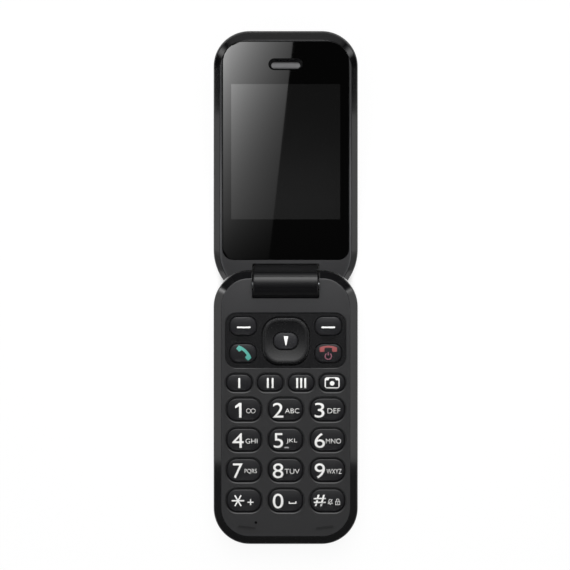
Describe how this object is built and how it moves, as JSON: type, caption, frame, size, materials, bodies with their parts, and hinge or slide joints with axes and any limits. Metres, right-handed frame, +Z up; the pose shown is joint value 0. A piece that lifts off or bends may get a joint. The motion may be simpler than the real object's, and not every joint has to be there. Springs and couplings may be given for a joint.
{
  "type": "flip phone",
  "caption": "Clamshell mobile phone lying open on its back: a keypad half with large keys and a rocker, a display half with a lens, and a barrel hinge between them.",
  "frame": {"origin": "centre of the open phone's box, on the surface that its back lies on", "axes": "+X to the right of the keypad, +Y from the keypad half to the display half, +Z up out of the keypad"},
  "size_m": [0.056, 0.1994, 0.0338],
  "materials": {
    "case_front": "fine satin moulding",
    "case_back": "fine matt moulding",
    "panel_gloss": "glossy black moulding",
    "key_cap": "satin black key caps with printed signs",
    "lens_black": "polished lens, printed black round the window",
    "display_dark": "display switched off",
    "grille_metal": "fine mesh",
    "barrel_gloss": "glossy black moulding",
    "camera_glass": "polished window",
    "dark_moulding": "black moulding",
    "battery_wrap": "printed film, bare",
    "circuit_board": "green solder mask",
    "tin_plate": "tin-plated sheet",
    "steel": "plain steel",
    "bush_brass": "plain bearing metal",
    "silicone": "soft moulding"
  },
  "bodies": {
    "base": {"base_front_cover": "case_front", "base_back_cover": "case_back", "battery_cover": "case_back", "battery": "battery_wrap", "main_board": "circuit_board", "board_shield": "tin_plate", "sim_holder": "tin_plate", "battery_contacts": "dark_moulding", "dome_sheet": "tin_plate", "keypad_mat": "silicone", "navigation_panel": "panel_gloss", "loudspeaker": "dark_moulding", "vibration_motor": "tin_plate", "microphone": "tin_plate", "microphone_boot": "silicone", "charging_socket": "tin_plate", "lid_buffers": "silicone", "base_screws": "steel", "hinge_shaft": "steel", "hinge_pin": "steel"},
    "lid": {"lid_frame": "case_front", "lid_cover": "case_back", "display_lens": "lens_black", "display_panel": "display_dark", "display_tray": "tin_plate", "lid_board": "circuit_board", "earpiece_grille": "grille_metal", "earpiece_receiver": "dark_moulding", "camera_module": "dark_moulding", "camera_window": "camera_glass", "lid_magnet": "steel", "lid_screws": "steel", "hinge_barrel": "barrel_gloss", "hinge_cartridge": "steel", "hinge_bush": "bush_brass"},
    "rocker_carrier": {"rocker_carrier": "dark_moulding"},
    "rocker_key": {"rocker_key": "key_cap"},
    "select_key": {"select_key": "key_cap"},
    "key_1": {"key_1": "key_cap"},
    "key_2": {"key_2": "key_cap"},
    "key_3": {"key_3": "key_cap"},
    "key_4": {"key_4": "key_cap"},
    "key_5": {"key_5": "key_cap"},
    "key_6": {"key_6": "key_cap"},
    "key_7": {"key_7": "key_cap"},
    "key_8": {"key_8": "key_cap"},
    "key_9": {"key_9": "key_cap"},
    "key_star": {"key_star": "key_cap"},
    "key_0": {"key_0": "key_cap"},
    "key_hash": {"key_hash": "key_cap"},
    "quick_key_1": {"quick_key_1": "key_cap"},
    "quick_key_2": {"quick_key_2": "key_cap"},
    "quick_key_3": {"quick_key_3": "key_cap"},
    "camera_key": {"camera_key": "key_cap"},
    "menu_key_left": {"menu_key_left": "key_cap"},
    "menu_key_right": {"menu_key_right": "key_cap"},
    "call_key": {"call_key": "key_cap"},
    "end_key": {"end_key": "key_cap"}
  },
  "joints": [
    {"name": "lid_hinge", "type": "hinge", "parent": "base", "child": "lid", "pos_m": [0, 0.00096, 0.0093], "axis": [1, 0, 0], "range_deg": [0, 164]},
    {"name": "rocker_side_tilt", "type": "hinge", "parent": "base", "child": "rocker_carrier", "pos_m": [0, -0.02084, 0.00844], "axis": [0, 1, 0], "range_deg": [-1.5, 1.5], "stiffness_Nm_per_rad": 0.3},
    {"name": "rocker_up_down_tilt", "type": "hinge", "parent": "rocker_carrier", "child": "rocker_key", "pos_m": [0, -0.02084, 0.00884], "axis": [1, 0, 0], "range_deg": [-1.5, 1.5], "stiffness_Nm_per_rad": 0.3},
    {"name": "select_key_press", "type": "slide", "parent": "base", "child": "select_key", "axis": [0, 0, -1], "range_m": [0, 0.0003], "stiffness_N_per_m": 600},
    {"name": "key_1_press", "type": "slide", "parent": "base", "child": "key_1", "axis": [0, 0, -1], "range_m": [0, 0.0003], "stiffness_N_per_m": 600},
    {"name": "key_2_press", "type": "slide", "parent": "base", "child": "key_2", "axis": [0, 0, -1], "range_m": [0, 0.0003], "stiffness_N_per_m": 600},
    {"name": "key_3_press", "type": "slide", "parent": "base", "child": "key_3", "axis": [0, 0, -1], "range_m": [0, 0.0003], "stiffness_N_per_m": 600},
    {"name": "key_4_press", "type": "slide", "parent": "base", "child": "key_4", "axis": [0, 0, -1], "range_m": [0, 0.0003], "stiffness_N_per_m": 600},
    {"name": "key_5_press", "type": "slide", "parent": "base", "child": "key_5", "axis": [0, 0, -1], "range_m": [0, 0.0003], "stiffness_N_per_m": 600},
    {"name": "key_6_press", "type": "slide", "parent": "base", "child": "key_6", "axis": [0, 0, -1], "range_m": [0, 0.0003], "stiffness_N_per_m": 600},
    {"name": "key_7_press", "type": "slide", "parent": "base", "child": "key_7", "axis": [0, 0, -1], "range_m": [0, 0.0003], "stiffness_N_per_m": 600},
    {"name": "key_8_press", "type": "slide", "parent": "base", "child": "key_8", "axis": [0, 0, -1], "range_m": [0, 0.0003], "stiffness_N_per_m": 600},
    {"name": "key_9_press", "type": "slide", "parent": "base", "child": "key_9", "axis": [0, 0, -1], "range_m": [0, 0.0003], "stiffness_N_per_m": 600},
    {"name": "key_star_press", "type": "slide", "parent": "base", "child": "key_star", "axis": [0, 0, -1], "range_m": [0, 0.0003], "stiffness_N_per_m": 600},
    {"name": "key_0_press", "type": "slide", "parent": "base", "child": "key_0", "axis": [0, 0, -1], "range_m": [0, 0.0003], "stiffness_N_per_m": 600},
    {"name": "key_hash_press", "type": "slide", "parent": "base", "child": "key_hash", "axis": [0, 0, -1], "range_m": [0, 0.0003], "stiffness_N_per_m": 600},
    {"name": "quick_key_1_press", "type": "slide", "parent": "base", "child": "quick_key_1", "axis": [0, 0, -1], "range_m": [0, 0.0003], "stiffness_N_per_m": 600},
    {"name": "quick_key_2_press", "type": "slide", "parent": "base", "child": "quick_key_2", "axis": [0, 0, -1], "range_m": [0, 0.0003], "stiffness_N_per_m": 600},
    {"name": "quick_key_3_press", "type": "slide", "parent": "base", "child": "quick_key_3", "axis": [0, 0, -1], "range_m": [0, 0.0003], "stiffness_N_per_m": 600},
    {"name": "camera_key_press", "type": "slide", "parent": "base", "child": "camera_key", "axis": [0, 0, -1], "range_m": [0, 0.0003], "stiffness_N_per_m": 600},
    {"name": "menu_key_left_press", "type": "slide", "parent": "base", "child": "menu_key_left", "axis": [0, 0, -1], "range_m": [0, 0.0003], "stiffness_N_per_m": 600},
    {"name": "menu_key_right_press", "type": "slide", "parent": "base", "child": "menu_key_right", "axis": [0, 0, -1], "range_m": [0, 0.0003], "stiffness_N_per_m": 600},
    {"name": "call_key_press", "type": "slide", "parent": "base", "child": "call_key", "axis": [0, 0, -1], "range_m": [0, 0.0003], "stiffness_N_per_m": 600},
    {"name": "end_key_press", "type": "slide", "parent": "base", "child": "end_key", "axis": [0, 0, -1], "range_m": [0, 0.0003], "stiffness_N_per_m": 600}
  ]
}
